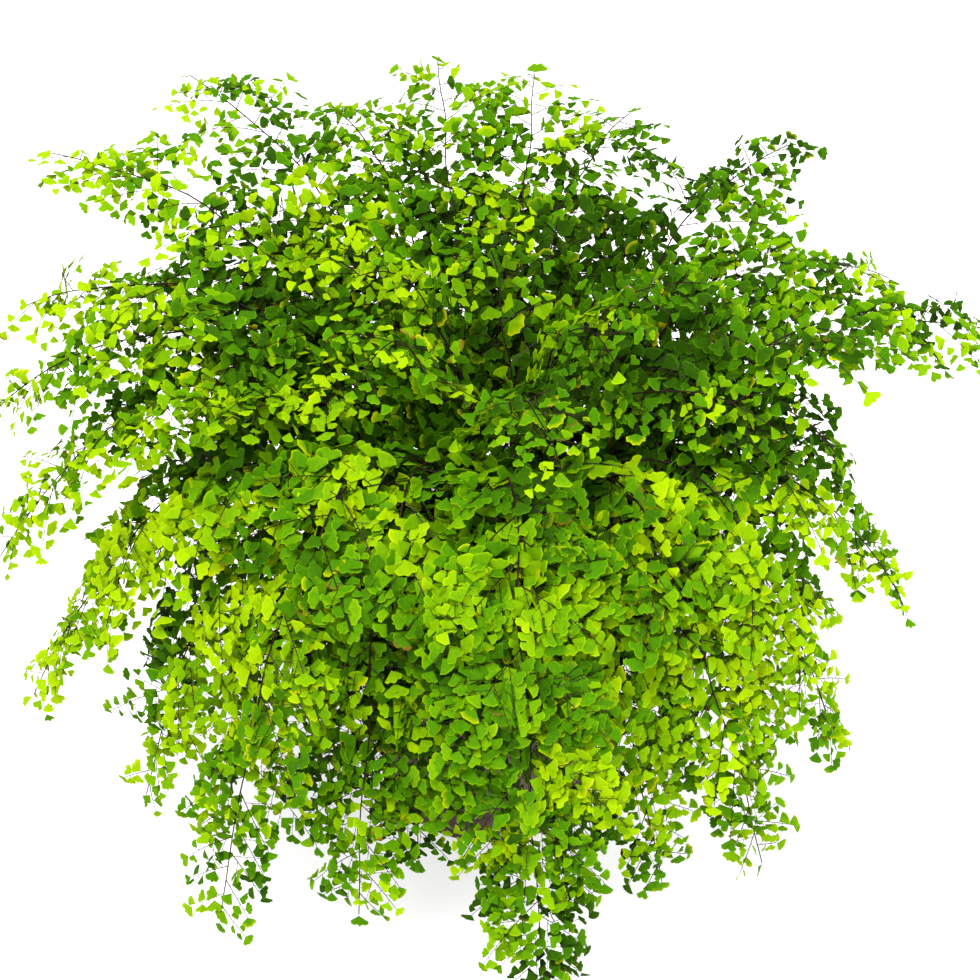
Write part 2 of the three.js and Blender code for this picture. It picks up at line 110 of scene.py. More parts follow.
# %% Helpers for material nodes
def node(tree, kind, settings=None, **inputs):
    made = tree.nodes.new(kind)
    for name, value in (settings or {}).items():
        setattr(made, name, value)
    for name, value in inputs.items():
        key = int(name[1:]) if name[0] == "i" and name[1:].isdigit() else name.replace("_", " ")
        if isinstance(value, bpy.types.NodeSocket):
            tree.links.new(value, made.inputs[key])
        else:
            made.inputs[key].default_value = value
    return made


def maths(tree, operation, *values, clamp=False):
    inputs = {f"i{i}": value for i, value in enumerate(values)}
    return node(tree, "ShaderNodeMath", {"operation": operation, "use_clamp": clamp}, **inputs).outputs[0]


def rising(tree, value, start, end):
    """A share that is 0 up to the start and 1 from the end on."""
    steepness = 1 / (end - start)
    return maths(tree, "MULTIPLY_ADD", value, steepness, -start * steepness, clamp=True)


def blend_colour(tree, share, low, high):
    made = node(tree, "ShaderNodeMix", {"data_type": "RGBA"}, i0=share, i6=low, i7=(*high, 1))
    return made.outputs[2]


def ramp(tree, value, stops):
    made = node(tree, "ShaderNodeValToRGB", i0=value)
    points = made.color_ramp.elements
    while len(points) < len(stops):
        points.new(1)
    for point, (place, colour) in zip(points, stops):
        point.position = place
        point.color = (*colour, 1)
    return made.outputs[0]


def noise(tree, scale, detail=3.0, rough=0.6):
    place = node(tree, "ShaderNodeTexCoord").outputs["Object"]
    made = node(tree, "ShaderNodeTexNoise", Vector=place, Scale=scale, Detail=detail, Roughness=rough)
    return made.outputs[0]


def skin_shader(tree, colour, roughness, specular, **relief):
    """The outer skin of a finish: its colour, how rough it is and how much light it mirrors."""
    made = node(tree, "ShaderNodeBsdfPrincipled", Base_Color=colour, Roughness=roughness, **relief)
    made.inputs["Specular IOR Level"].default_value = specular
    return made.outputs[0]


def new_material(name):
    material = bpy.data.materials.new(name)
    material.use_nodes = True
    material.node_tree.nodes.clear()
    return material, material.node_tree


def finish_material(material, shader):
    node(material.node_tree, "ShaderNodeOutputMaterial", Surface=shader)
    print(material.name, "nodes:", len(material.node_tree.nodes))


# %% [markdown]
# ## The colours of a leaflet
# A real leaflet is as thin as paper, so nearly half of the light that reaches the eye has come through it. That
# is why the fern glows yellow-green where leaflets are single and turns deep green where they lie over each
# other. One green for all of them would look like plastic. So a ramp holds five greens, from the shade to the
# light, and each leaflet has its own place on it, set by its own tone and by painted light and painted shade.

# %% Leaf colours
LEAF_GREENS = [
    # how light, from 0 to 1, with painted light and shade in it, and the green there
    (0.0, (0.010, 0.055, 0.001)),
    (0.3, (0.055, 0.200, 0.001)),
    (0.6, (0.215, 0.400, 0.001)),
    (0.85, (0.370, 0.530, 0.001)),
    (1.0, (0.450, 0.590, 0.006)),
]
VEIN_GREEN = (0.30, 0.46, 0.01)
OLD_YELLOW = (0.58, 0.57, 0.003)
DRY_BROWN = (0.20, 0.075, 0.015)
VEINS, VEIN_SHARE = 64.0, 0.14
PATCHES, PATCHINESS = 420.0, 0.24
# painted highlight: a thin lighter band along the rim of every leaflet
RIM_HIGHLIGHT, RIM_HIGHLIGHT_LIFT = (0.875, 1.0), 0.22
YELLOW_RIM, BROWN_TIP = (0.6154, 1.0), (0.375, 0.5)
THROUGH = 0.45
print("greens of the leaf:", len(LEAF_GREENS))

# %% [markdown]
# ## Painting a leaflet
# A picture of a leaf could be laid on every leaflet, but then all of them would be alike. Here each leaflet
# carries three numbers of its own: how light it is, which holds its own tone together with painted light and
# painted shade, how yellow its rim has turned and how brown its tip is. A fourth one is 0 at the neck and 1 at
# the rim, where a thin painted highlight lightens the rim. The veins fan out from the neck, so they are drawn by
# the angle round it, from the leaflet's own flat map. The shader mixes a hardly glossy skin with a translucent
# one.

# %% Leaf material
leaf_material, tree = new_material("maidenhair_leaf")
own = node(tree, "ShaderNodeAttribute", {"attribute_name": "leaflet"})
tone, yellowing, browning = node(tree, "ShaderNodeSeparateColor", Color=own.outputs["Color"]).outputs[:3]
outward = own.outputs["Alpha"]
flat = node(tree, "ShaderNodeUVMap", {"uv_map": "fan"}).outputs[0]
centred = node(tree, "ShaderNodeVectorMath", {"operation": "SUBTRACT"}, i0=flat, i1=(0.5, 0.0, 0.0)).outputs[0]
axes = node(tree, "ShaderNodeSeparateXYZ", Vector=centred)
turn = maths(tree, "ARCTAN2", axes.outputs[0], axes.outputs[1])
reach = node(tree, "ShaderNodeVectorMath", {"operation": "LENGTH"}, i0=centred).outputs["Value"]
wave = maths(tree, "SINE", maths(tree, "MULTIPLY", turn, VEINS))
vein = maths(tree, "POWER", maths(tree, "MULTIPLY_ADD", wave, 0.5, 0.5), 3.0)
patch = noise(tree, PATCHES)
uneven = maths(tree, "MULTIPLY_ADD", patch, PATCHINESS, -PATCHINESS / 2)
# painted highlight along the rim of every leaflet, plus the leaf's own uneven patches
lit_rim = maths(tree, "MULTIPLY_ADD", rising(tree, outward, *RIM_HIGHLIGHT), RIM_HIGHLIGHT_LIFT, uneven)
# the tone holds painted light and painted shade as well as the leaflet's own tone
green = ramp(tree, maths(tree, "ADD", tone, lit_rim, clamp=True), LEAF_GREENS)
veined = blend_colour(tree, maths(tree, "MULTIPLY", vein, VEIN_SHARE), green, VEIN_GREEN)
yellow_rim = maths(tree, "MULTIPLY", rising(tree, outward, *YELLOW_RIM), yellowing)
rimmed = blend_colour(tree, yellow_rim, veined, OLD_YELLOW)
ragged = maths(tree, "ADD", reach, maths(tree, "MULTIPLY_ADD", patch, 0.5, -0.25))
brown_tip = maths(tree, "MULTIPLY", rising(tree, ragged, *BROWN_TIP), browning)
leaf_skin = blend_colour(tree, brown_tip, rimmed, DRY_BROWN)
leaf_relief = node(tree, "ShaderNodeBump", Strength=0.35, Distance=0.1 * MM, Height=vein).outputs[0]
glossy = skin_shader(tree, leaf_skin, 0.55, 0.02, Normal=leaf_relief)
through = node(tree, "ShaderNodeBsdfTranslucent", Color=leaf_skin, Normal=leaf_relief).outputs[0]
finish_material(leaf_material, node(tree, "ShaderNodeMixShader", i0=THROUGH, i1=glossy, i2=through).outputs[0])

# %% [markdown]
# ## The stalks
# Maidenhair stalks look like dark polished wire, purple-black with a brown cast here and there. On something so
# thin a bright shine would turn the whole stalk grey, so the gloss is kept low and the colour nearly black.

# %% Stalk material
STALK_BLACK = (0.005, 0.002, 0.0015)
STALK_BROWN = (0.018, 0.009, 0.004)

stalk_material, tree = new_material("wiry_stalk")
dark = ramp(tree, noise(tree, 60.0), [(0.35, STALK_BLACK), (0.7, STALK_BROWN)])
finish_material(stalk_material, skin_shader(tree, dark, 0.5, 0.08))

# %% [markdown]
# ## One leaflet at a time
# A leaflet is a slice of a disc with its point at the neck and a lobed rim. A flat card with a cut-out picture
# would be quicker, but it has no thickness and no real rim. So each is cut from a disc, a few rim corners are
# pulled in to part the lobes, the outermost two are pulled in to round the fan, the blade gets a little wave,
# and a Solidify modifier makes it a closed thin shell. Five different ones are modelled, a hundred times over
# size: a leaflet's length is one metre here. Each later copy is turned, shrunk and cupped in its own way, so five
# are enough.

# %% Leaflet shapes
LEAFLET_SHAPES = [
    # name, steps round the rim (even), half of the opening angle, corners pulled in, how far, how much longer the
    # shoulders are than the middle, and how much longer one side is than the other
    ("three_lobed", 8, 56, (3, 5), 0.15, 0.10, 0.00),
    ("two_lobed", 6, 50, (3,), 0.20, 0.12, 0.10),
    ("broad", 8, 66, (2, 4, 6), 0.11, 0.06, -0.12),
    ("young", 4, 42, (), 0.0, 0.14, 0.08),
    ("slanted", 8, 52, (3, 6), 0.13, 0.10, 0.24),
]
LEAFLET_SHARES = [0.18, 0.24, 0.17, 0.24, 0.17]
BLADE_SHARE = 0.02
ROUNDED = 0.16
WAVINESS, WAVE_STEP = 0.05, 1.9
AT_RIM = 0.5
SAME_TURN = 0.02


def turn_of(place):
    """The angle between the middle of the leaflet and a corner, seen from the neck."""
    return math.atan2(place.x, place.y)


def shape_rim(leaflet, steps, half, half_angle, notches, depth, shoulder, skew):
    """Pulls each corner of the rim in or out, and a little up or down."""
    for index in range(steps + 1):
        share = index / steps
        turned = (2 * share - 1) * half
        pick(leaflet, lambda place: place.length > AT_RIM and abs(turn_of(place) - turned) < SAME_TURN)
        aside = abs(2 * share - 1)
        size = 1 + shoulder * aside**2 - ROUNDED * (aside == 1) + skew * (share - 0.5)
        size -= depth if index in notches else 0
        bpy.ops.transform.resize(value=(size, size, size), center_override=(0, 0, 0))
        wavy = WAVINESS * math.sin(index * WAVE_STEP + half_angle)
        bpy.ops.transform.translate(value=(0, 0, wavy))


def cut_leaflet(name, steps, half_angle, *rim):
    corners = round(180 * steps / half_angle)
    half = steps * math.pi / corners
    bpy.ops.object.select_all(action="DESELECT")
    bpy.ops.mesh.primitive_circle_add(vertices=corners, radius=1, fill_type="TRIFAN")
    leaflet = bpy.context.object
    leaflet.name = name
    bpy.ops.object.mode_set(mode="EDIT")
    pick(leaflet, lambda place: place.length > AT_RIM and abs(turn_of(place)) > half + SAME_TURN / 2)
    bpy.ops.mesh.delete(type="VERT")
    shape_rim(leaflet, steps, half, half_angle, *rim)
    bpy.ops.mesh.select_all(action="SELECT")
    bpy.ops.mesh.normals_make_consistent(inside=False)
    bpy.ops.object.mode_set(mode="OBJECT")
    apply_modifier(leaflet, "SOLIDIFY", thickness=BLADE_SHARE, offset=0)
    bpy.ops.object.mode_set(mode="EDIT")
    bpy.ops.mesh.select_all(action="SELECT")
    bpy.ops.mesh.quads_convert_to_tris()
    bpy.ops.mesh.normals_make_consistent(inside=False)
    bpy.ops.object.mode_set(mode="OBJECT")
    return leaflet


def read_mesh(piece):
    """Corners and triangles of a piece as plain tables."""
    mesh = piece.data
    places = np.empty(len(mesh.vertices) * 3)
    mesh.vertices.foreach_get("co", places)
    faces = np.empty(len(mesh.polygons) * 3, int)
    mesh.polygons.foreach_get("vertices", faces)
    return places.reshape(-1, 3), faces.reshape(-1, 3)


leaflet_models = []
for shape in LEAFLET_SHAPES:
    model = cut_leaflet(*shape)
    leaflet_models.append(read_mesh(model))
    print(shape[0], "triangles:", len(leaflet_models[-1][1]))
    bpy.data.objects.remove(model)

# %% [markdown]
# ## Where the fronds run
# The solids in the frame were drawn along smooth lines: a stalk climbs from the crown, arches over and ends at
# its tip. The same lines are drawn again here from the same few numbers, so each fine frond lies in its own
# solid. A row holds the azimuth in degrees, how far the tip is from the axis, the height of the arch's middle and
# the height of the tip, in millimetres above the soil.

# %% Frond tables
REACHING_FRONDS = [
    [6, 252, 145, 142],
    [22, 218, 156, 142],
    [44, 215, 160, 183],
    [68, 196, 161, 185],
    [83, 192, 164, 204],
    [98, 198, 170, 208],
    [114, 208, 162, 186],
    [131, 238, 168, 208],
    [152, 252, 166, 194],
    [166, 242, 150, 138],
    [175, 248, 140, 100],
    [185, 244, 130, 42],
    [194, 234, 106, -18],
    [212, 198, 112, -42],
    [231, 206, 118, -76],
    [250, 182, 126, -62],
    [277, 202, 132, -88],
    [299, 170, 122, -60],
    [316, 184, 118, -66],
    [332, 192, 112, -26],
    [348, 206, 108, 34],
    [357, 178, 128, 84],
]
HANGING_FRONDS = [
    [28, 185, 102, 0],
    [55, 190, 105, -28],
    [82, 180, 98, -50],
    [108, 190, 104, -34],
    [135, 198, 106, -5],
    [160, 190, 94, -25],
    [219, 150, 100, -4],
    [238, 136, 92, -26],
    [257, 152, 108, -46],
    [273, 124, 84, -14],
    [290, 142, 108, -42],
    [307, 134, 88, -18],
    [325, 150, 98, -8],
]
print("reaching and hanging fronds:", len(REACHING_FRONDS), len(HANGING_FRONDS))

# %% [markdown]
# ## The young fronds in the middle
# Ten short fronds fill the dome. A table would do for them too, but a rule is shorter: each is turned from the
# last by the golden angle, as the shoots of many plants are, and the further out it stands, the further it
# reaches. Their tips end just under the dome. Each frond also sways to one side by a few millimetres.

# %% Frond rows
INNER_FRONDS = 10
GOLDEN_ANGLE, INNER_TURN = 137.508, 180
INNER_REACH, INNER_ROOT = (40, 145), (4, 17)
DOME_HEIGHT, DOME_RADIUS = 228, 240
UNDER_DOME = (5, 35)
INNER_CREST, INNER_CREST_LIMIT = (0.86, 0.94), 190
HIGH_ROOTS, LOW_ROOTS = (34, 26), (40, 45)
SWAY = 12
SEED = 8


def drawer(seed):
    """The minimal standard generator, which the solids were drawn with too."""
    state = seed

    def draw(low, high):
        nonlocal state
        state = state * 16807 % 2147483647
        return low + (high - low) * state / 2147483647

    return draw


def between(ends, share):
    return ends[0] + (ends[1] - ends[0]) * share


def frond_rows():
    """For each frond its kind, its name, its row, how far from the axis it starts and how far it sways."""
    draw = drawer(SEED)
    rows = []
    for i, shape in enumerate(REACHING_FRONDS):
        rows.append(("outer", f"outer_frond_{i + 1:02d}", shape, HIGH_ROOTS[i % 2], draw(-SWAY, SWAY)))
    for i, shape in enumerate(HANGING_FRONDS):
        rows.append(("hanging", f"hanging_frond_{i + 1:02d}", shape, LOW_ROOTS[i % 2], draw(-SWAY, SWAY)))
    for i in range(INNER_FRONDS):
        reach = between(INNER_REACH, math.sqrt((i + 0.5) / INNER_FRONDS))
        root = between(INNER_ROOT, math.sqrt(i / INNER_FRONDS))
        tip = DOME_HEIGHT * (1 - (reach / DOME_RADIUS) ** 2) - draw(*UNDER_DOME)
        crest = min(tip + UNDER_DOME[0], INNER_CREST_LIMIT) * draw(*INNER_CREST)
        shape = [GOLDEN_ANGLE * i + INNER_TURN, reach, crest, tip]
        rows.append(("inner", f"inner_frond_{i + 1:02d}", shape, root, draw(-SWAY, SWAY)))
    return rows


rows = frond_rows()
print("fronds:", len(rows))

# %% [markdown]
# ## A line with directions
# Along its line a frond needs more than a place. It needs to know which way it runs, which way its side lies and
# which way its upper face looks, because branches leave to the side and leaflets face up and out. A curve object
# could tell, but a formula is exact and quick. A real stalk is never quite smooth, so the line also wanders by a
# millimetre or two to the side and up and down.

# %% Frond lines
UP = np.array([0.0, 0.0, 1.0])
SOIL_TOP = 118
CROWN = UP * SOIL_TOP
HANDLES = ((0.1, 0.95), (0.62, 1.05))
LINE_STEPS = 200
WANDER, WAVES = 1.8, (4.3, 3.1)


def unit(vectors):
    return vectors / np.linalg.norm(vectors, axis=-1, keepdims=True)


class FrondLine:
    """A cubic curve from the root over the crest to the tip, measured by its own length."""

    def __init__(self, shape, root, sway, bends):
        azimuth, reach, crest, tip = shape
        turned = math.radians(azimuth)
        outward = np.array([math.cos(turned), math.sin(turned), 0.0])
        self.across = np.array([-outward[1], outward[0], 0.0])
        self.sway = sway
        self.bends = bends
        # At half of its run a cubic curve has an eighth of its end's height and three quarters of its handles'.
        climb = (crest - tip / 8) / 0.75
        span = reach - root
        stops = [(root, 0), *[(root + far * span, high * climb) for far, high in HANDLES], (reach, tip)]
        self.stops = np.array([outward * r + UP * (SOIL_TOP + h) for r, h in stops])
        self.times = np.linspace(0, 1, LINE_STEPS + 1)
        steps = np.linalg.norm(np.diff(self.at(self.times), axis=0), axis=1)
        self.lengths = np.concatenate([[0], np.cumsum(steps)])
        self.length = self.lengths[-1]

    def at(self, times):
        t = np.asarray(times)[:, None]
        a, b, c, d = self.stops
        return (1 - t) ** 3 * a + 3 * (1 - t) ** 2 * t * b + 3 * (1 - t) * t**2 * c + t**3 * d

    def frames(self, shares):
        """Places, and the directions along, to the side and out of the upper face, at shares of the length."""
        shares = np.asarray(shares, float)
        times = np.interp(shares * self.length, self.lengths, self.times)
        t = times[:, None]
        a, b, c, d = self.stops
        along = unit(3 * (1 - t) ** 2 * (b - a) + 6 * (1 - t) * t * (c - b) + 3 * t**2 * (d - c))
        leaning = self.sway * math.pi * np.cos(math.pi * shares) / self.length
        along = unit(along + leaning[:, None] * self.across)
        upper = unit(np.cross(along, self.across))
        side = np.cross(upper, along)
        places = self.at(times) + (self.sway * np.sin(math.pi * shares))[:, None] * self.across
        for way, turns, start in zip((side, upper), WAVES, self.bends):
            size = WANDER * np.sin(math.pi * shares) * np.sin(2 * math.pi * turns * shares + start)
            places = places + size[:, None] * way
        return places, along, side, upper


lengths = [FrondLine(shape, root, sway, (0, 0)).length for _, _, shape, root, sway in rows]
print("shortest and longest frond:", round(min(lengths)), "and", round(max(lengths)), "mm")

# %% [markdown]
# ## Wire
# Stalks, branches and the hairs that carry single leaflets are thin wires. Curves with a round bevel would do for
# one frond, but there are many thousands of wires, so their corners are worked out at once. A tube is a ring of
# corners carried along a line and closed at both ends. Thin ones have three sides only, and a hair is a spike of
# four triangles, because nobody can tell.

# %% Tubes
UPRIGHT = 0.8
SPIKE_FACES = np.array([[0, 3, 1], [1, 3, 2], [2, 3, 0], [0, 1, 2]])


def tube(points, radii, sides):
    """Corners and triangles of a closed tube along some points."""
    points = np.asarray(points)
    ahead = unit(np.gradient(points, axis=0))
    guide = UP if abs(ahead[0] @ UP) < UPRIGHT else np.array([1.0, 0.0, 0.0])
    side = unit(np.cross(ahead, guide))
    upper = np.cross(side, ahead)
    turned = np.arange(sides) * 2 * math.pi / sides
    ring = np.cos(turned)[None, :, None] * side[:, None] + np.sin(turned)[None, :, None] * upper[:, None]
    corners = points[:, None] + np.asarray(radii)[:, None, None] * ring
    count = len(points)
    near = (np.arange(count - 1)[:, None] * sides + np.arange(sides)).ravel()
    other = (np.arange(count - 1)[:, None] * sides + (np.arange(sides) + 1) % sides).ravel()
    walls = np.concatenate([
        np.column_stack([near, near + sides, other]),
        np.column_stack([other, near + sides, other + sides]),
    ])
    last = (count - 1) * sides
    spare = np.arange(1, sides - 1)
    foot = np.column_stack([0 * spare, spare, spare + 1])
    head = np.column_stack([last + 0 * spare, last + spare + 1, last + spare])
    return corners.reshape(-1, 3), np.concatenate([walls, foot, head])


def spike(foot, tip, radius):
    """Corners and triangles of a three-sided spike."""
    corners, _ = tube([foot, tip], [radius, 0], 3)
    return corners[:4], SPIKE_FACES


def join_shapes(shapes):
    """Joins lists of corners and triangles into one pair."""
    offsets = np.cumsum([0] + [len(corners) for corners, _ in shapes[:-1]])
    corners = np.concatenate([corners for corners, _ in shapes])
    faces = np.concatenate([faces + offset for (_, faces), offset in zip(shapes, offsets)])
    return corners, faces


def mesh_object(name, corners, faces):
    mesh = bpy.data.meshes.new(name)
    mesh.from_pydata((corners * MM).tolist(), [], faces.tolist())
    mesh.update()
    piece = bpy.data.objects.new(name, mesh)
    bpy.context.scene.collection.objects.link(piece)
    return piece


print("triangles of a hair:", len(SPIKE_FACES))

# %% [markdown]
# ## How a frond branches
# A frond is three times divided. Branches leave the stalk by turns to the left and right, longest near the
# bottom, and the long ones carry branchlets of their own. Leaflets stand by turns along each of them on hair-thin
# stalks, and one stands at the end. Leaflets scattered at random would lose that order, so the frond is grown as
# the plant does it. Everything bends down a little under its own weight, and every leaflet is turned a little its
# own way towards the light. The plan below only notes wires, places and directions. The leaflets come after.

# %% Sprays of leaflets
HAIR_RADIUS, HAIR_SHARE, HAIR_UNDER = 0.22, (0.14, 0.26), 0.12
LEAFLET_SIZES = (0.72, 1.15)
HEADING_SPREAD, FACE_SPREAD, NOD = 0.16, 0.28, 0.12
WINDOW = unit(np.array([-0.25, -0.7, 0.65]))
TO_WINDOW = 0.5
SPRAY_TILT, SPRAY_SHADE, SPRAY_STEP = 0.42, 0.09, 11
DROOP, DROOP_LENGTH, CURL_BACK = (0.25, 0.65), 50, 0.25
BRANCH_TAPER, LEAFLET_TAPER, GAP_TAPER = 0.45, 0.3, 0.2
FIRST_GAP, NEXT_GAP, LAST_GAP = (0.5, 1.0), (0.85, 1.1), 0.35
BRANCHLET_FROM, BRANCHLET_CHANCE = 17, 0.85
BRANCHLET_TURN, BRANCHLET_SHARE, BRANCHLET_THICK = (42, 60), (0.42, 0.58), 0.62
LEAFLET_TURN = (48, 74)
END_LEAFLET = 0.8


def turned_off(way, side, degrees):
    """A direction that leaves another one to the side by an angle."""
    turned = math.radians(degrees)
    return math.cos(turned) * way + math.sin(turned) * side


class Plan:
    """What a frond is made of: wires, and for each leaflet its neck, directions, length, age and shade."""

    def __init__(self, seed, weight):
        self.chance = np.random.default_rng(seed)
        self.weight = weight
        self.gap = 0.0
        self.tubes = []
        self.leaflets = []

    def vary(self, spread):
        return self.chance.normal(0, spread, 3)

    def leaflet(self, foot, heading, face, length, age, shade):
        heading = unit(heading + self.vary(HEADING_SPREAD) - UP * NOD)
        neck = foot + heading * (length * self.chance.uniform(*HAIR_SHARE))
        face = face + self.vary(FACE_SPREAD)
        face = unit(face - heading * (face @ heading))
        self.tubes.append(spike(foot, neck + heading * length * HAIR_UNDER, HAIR_RADIUS))
        length = length * self.chance.uniform(*LEAFLET_SIZES)
        self.leaflets.append((neck, heading, face, length, age, shade))

    def spray(self, foot, heading, face, length, thick, leaflet, age, shade, branching=True):
        """A branch with leaflets by turns, and with branchlets first where it is long."""
        face = unit(face + self.vary(SPRAY_TILT) + WINDOW * TO_WINDOW)
        shade = shade + self.chance.normal(0, SPRAY_SHADE)
        count = max(2, round(length / SPRAY_STEP))
        shares = np.linspace(0, 1, count + 1)
        droop = self.chance.uniform(*DROOP) * self.weight * length / DROOP_LENGTH
        ahead = unit(heading + np.outer(shares, face * -CURL_BACK - UP * droop))
        steps = (ahead[1:] + ahead[:-1]) / 2 * (length / count)
        points = foot + np.vstack([np.zeros(3), np.cumsum(steps, axis=0)])
        self.tubes.append(tube(points, thick * (1 - BRANCH_TAPER * shares), 3))
        run = self.gap * self.chance.uniform(*FIRST_GAP)
        hand = self.chance.choice([-1, 1])
        while run < length - LAST_GAP * self.gap:
            share = run / length
            place = np.array([np.interp(share, shares, points[:, k]) for k in range(3)])
            way = unit(np.array([np.interp(share, shares, ahead[:, k]) for k in range(3)]))
            side = hand * unit(np.cross(face, way))
            size = leaflet * (1 - LEAFLET_TAPER * share)
            rest = length - run
            if branching and rest > BRANCHLET_FROM and self.chance.random() < BRANCHLET_CHANCE:
                out = turned_off(way, side, self.chance.uniform(*BRANCHLET_TURN))
                reach = rest * self.chance.uniform(*BRANCHLET_SHARE)
                self.spray(place, out, face, reach, BRANCHLET_THICK * thick, size, age, shade, branching=False)
            else:
                out = turned_off(way, side, self.chance.uniform(*LEAFLET_TURN))
                self.leaflet(place, out, face, size, age, shade)
            run += self.gap * self.chance.uniform(*NEXT_GAP) * (1 - GAP_TAPER * share)
            hand = -hand
        self.leaflet(points[-1], ahead[-1], face, leaflet * END_LEAFLET, age, shade)


# %% [markdown]
# ## Three kinds of frond
# The fronds differ in where their leaves begin and in how long, close and heavy their branches are. Those that
# hang over the pot droop more. Leaflets stand closest at the front, which is turned to the window, and a little
# wider apart at the back. One spacing for the whole plant would need many more leaflets for the same thick front.

# %% Kinds of frond
KINDS = {
    # leafy from this share of the length on, longest branch, distance between branches at the bottom and at the
    # tip, length of a leaflet, how much the branches weigh
    "outer": {"leafy": 0.26, "longest": 68, "spacing": (12.0, 6.8), "leaflet": 9.3, "weight": 1.0},
    "hanging": {"leafy": 0.14, "longest": 62, "spacing": (11.0, 6.8), "leaflet": 9.2, "weight": 1.9},
    "inner": {"leafy": 0.2, "longest": 52, "spacing": (12.5, 8.0), "leaflet": 9.0, "weight": 1.0},
}
LEAFLET_GAP = 5.55
GAP_FACTORS = [
    # for all but young fronds: from one azimuth to another, by how much the gaps between leaflets differ
    (200, 340, 0.84),
    (255, 280, 0.78),
    (25, 165, 1.05),
]


def leaflet_gap(kind, azimuth):
    gap = LEAFLET_GAP
    for low, high, factor in GAP_FACTORS:
        if low < azimuth < high and kind != "inner":
            gap *= factor
    return gap


print("gap between leaflets at the front:", round(leaflet_gap("outer", 270), 2), "mm")

# %% [markdown]
# ## Growing a frond
# A stalk tapers from the soil to its tip and is bare at the bottom. Then branches follow by turns. Leaflets near
# the tip are younger, so they are smaller and closer together. Each frond has its own seed, so it grows the same
# way each time. The first seed was chosen among a few, so that bright and dark parts lie much as in the photo.

# %% Growing the fronds
FIRST_SEED = 600
GAP_BY_AGE, LEAFLET_BY_AGE = (1.08, 0.78), (1.14, 0.62)
ROOT_DEPTH = 15.5
STALK_RADII, BRANCH_RADII = (0.72, 0.28), (0.40, 0.26)
STALK_STEPS, STALK_SIDES = 34, 6
BRANCH_TURN, BRANCH_TURN_SPREAD = 56, 9
BRANCH_TAPERING, SHORTEST_BRANCH = 0.55, 6
FIRST_BRANCH, FULL_SOON = 0.25, 2.6
BRANCH_LENGTHS, BRANCH_RISE = (0.72, 1.25), (-0.35, 0.45)
BRANCH_TILT, BRANCH_SHADE = 0.16, 0.15
SINGLE_UNDER = 12
TIP_LEAFLET = 0.7


def branch_length(plan, longest, age):
    """Longest near the bottom and shortest at the tip, but the very first ones are short as well."""
    length = longest * (1 - age) ** BRANCH_TAPERING + SHORTEST_BRANCH
    return length * (min(1, FIRST_BRANCH + FULL_SOON * age) * plan.chance.uniform(*BRANCH_LENGTHS))


def grow(kind, shape, root, sway, seed):
    nature = KINDS[kind]
    plan = Plan(seed, nature["weight"])
    line = FrondLine(shape, root, sway, plan.chance.uniform(0, 2 * math.pi, 2))
    gap = leaflet_gap(kind, shape[0])
    shares = np.linspace(0, 1, STALK_STEPS)
    places, along, _, _ = line.frames(shares)
    buried = places[0] - along[0] * ROOT_DEPTH
    radii = np.concatenate([STALK_RADII[:1], between(STALK_RADII, shares)])
    plan.tubes.append(tube(np.vstack([buried, places]), radii, STALK_SIDES))
    bare = nature["leafy"] * line.length
    run = bare
    hand = 1 if seed % 2 else -1
    while run < line.length - SHORTEST_BRANCH:
        age = (run - bare) / (line.length - bare)
        (place,), (way,), (aside,), (face,) = line.frames([run / line.length])
        length = branch_length(plan, nature["longest"], age)
        degrees = BRANCH_TURN + plan.chance.uniform(-BRANCH_TURN_SPREAD, BRANCH_TURN_SPREAD)
        out = unit(turned_off(way, hand * aside, degrees) + plan.chance.uniform(*BRANCH_RISE) * face)
        tilted = unit(face + plan.vary(BRANCH_TILT))
        leaflet = nature["leaflet"] * between(LEAFLET_BY_AGE, age)
        plan.gap = gap * between(GAP_BY_AGE, age)
        if length > SINGLE_UNDER:
            thick = between(BRANCH_RADII, age)
            plan.spray(place, out, tilted, length, thick, leaflet, age, plan.chance.normal(0, BRANCH_SHADE))
        else:
            plan.leaflet(place, out, tilted, leaflet, age, 0.0)
        run += between(nature["spacing"], age)
        hand = -hand
    (place,), (way,), _, (face,) = line.frames([1])
    plan.leaflet(place, way, face, nature["leaflet"] * TIP_LEAFLET, 1, 0.0)
    return plan


plans = {name: grow(kind, *line, FIRST_SEED + i) for i, (kind, name, *line) in enumerate(rows)}
print("leaflets:", sum(len(plan.leaflets) for plan in plans.values()))

# %% [markdown]
# ## Which leaflets lie deep
# The look of the plant lives on contrast: light leaflets on the outside, and dark green ones in the gaps between
# them. The light in the render alone gives only part of it, so the rest is painted shade: leaflets that lie deep
# get a darker green. To tell outer and inner leaflets apart, the space round the middle of the crown is divided
# into narrow sectors. The leaflet furthest out in a sector is its edge, and the others are as deep as their
# distance under that edge.

# %% Depth of leaflets
HEART = CROWN + UP * 30
AROUND, UPWARD = 72, 36
EDGE_SKIN, FULL_DEPTH = 4, 36


def sectors(necks):
    """The number of the sector in which each neck lies, and how far out it is."""
    rays = necks - HEART
    far = np.linalg.norm(rays, axis=1)
    turned = np.clip((np.arctan2(rays[:, 1], rays[:, 0]) / (2 * math.pi) + 0.5) * AROUND, 0, AROUND - 1)
    raised = np.clip((rays[:, 2] / far + 1) / 2 * UPWARD, 0, UPWARD - 1)
    return turned.astype(int) * UPWARD + raised.astype(int), far


all_sectors, all_far = sectors(np.array([leaflet[0] for plan in plans.values() for leaflet in plan.leaflets]))
edges = np.zeros(AROUND * UPWARD)
np.maximum.at(edges, all_sectors, all_far)


# how deep a leaflet lies, which sets its painted shade
def how_deep(necks):
    sector, far = sectors(necks)
    return np.clip((edges[sector] - far - EDGE_SKIN) / FULL_DEPTH, 0, 1)


print("sectors with leaflets:", np.count_nonzero(edges))
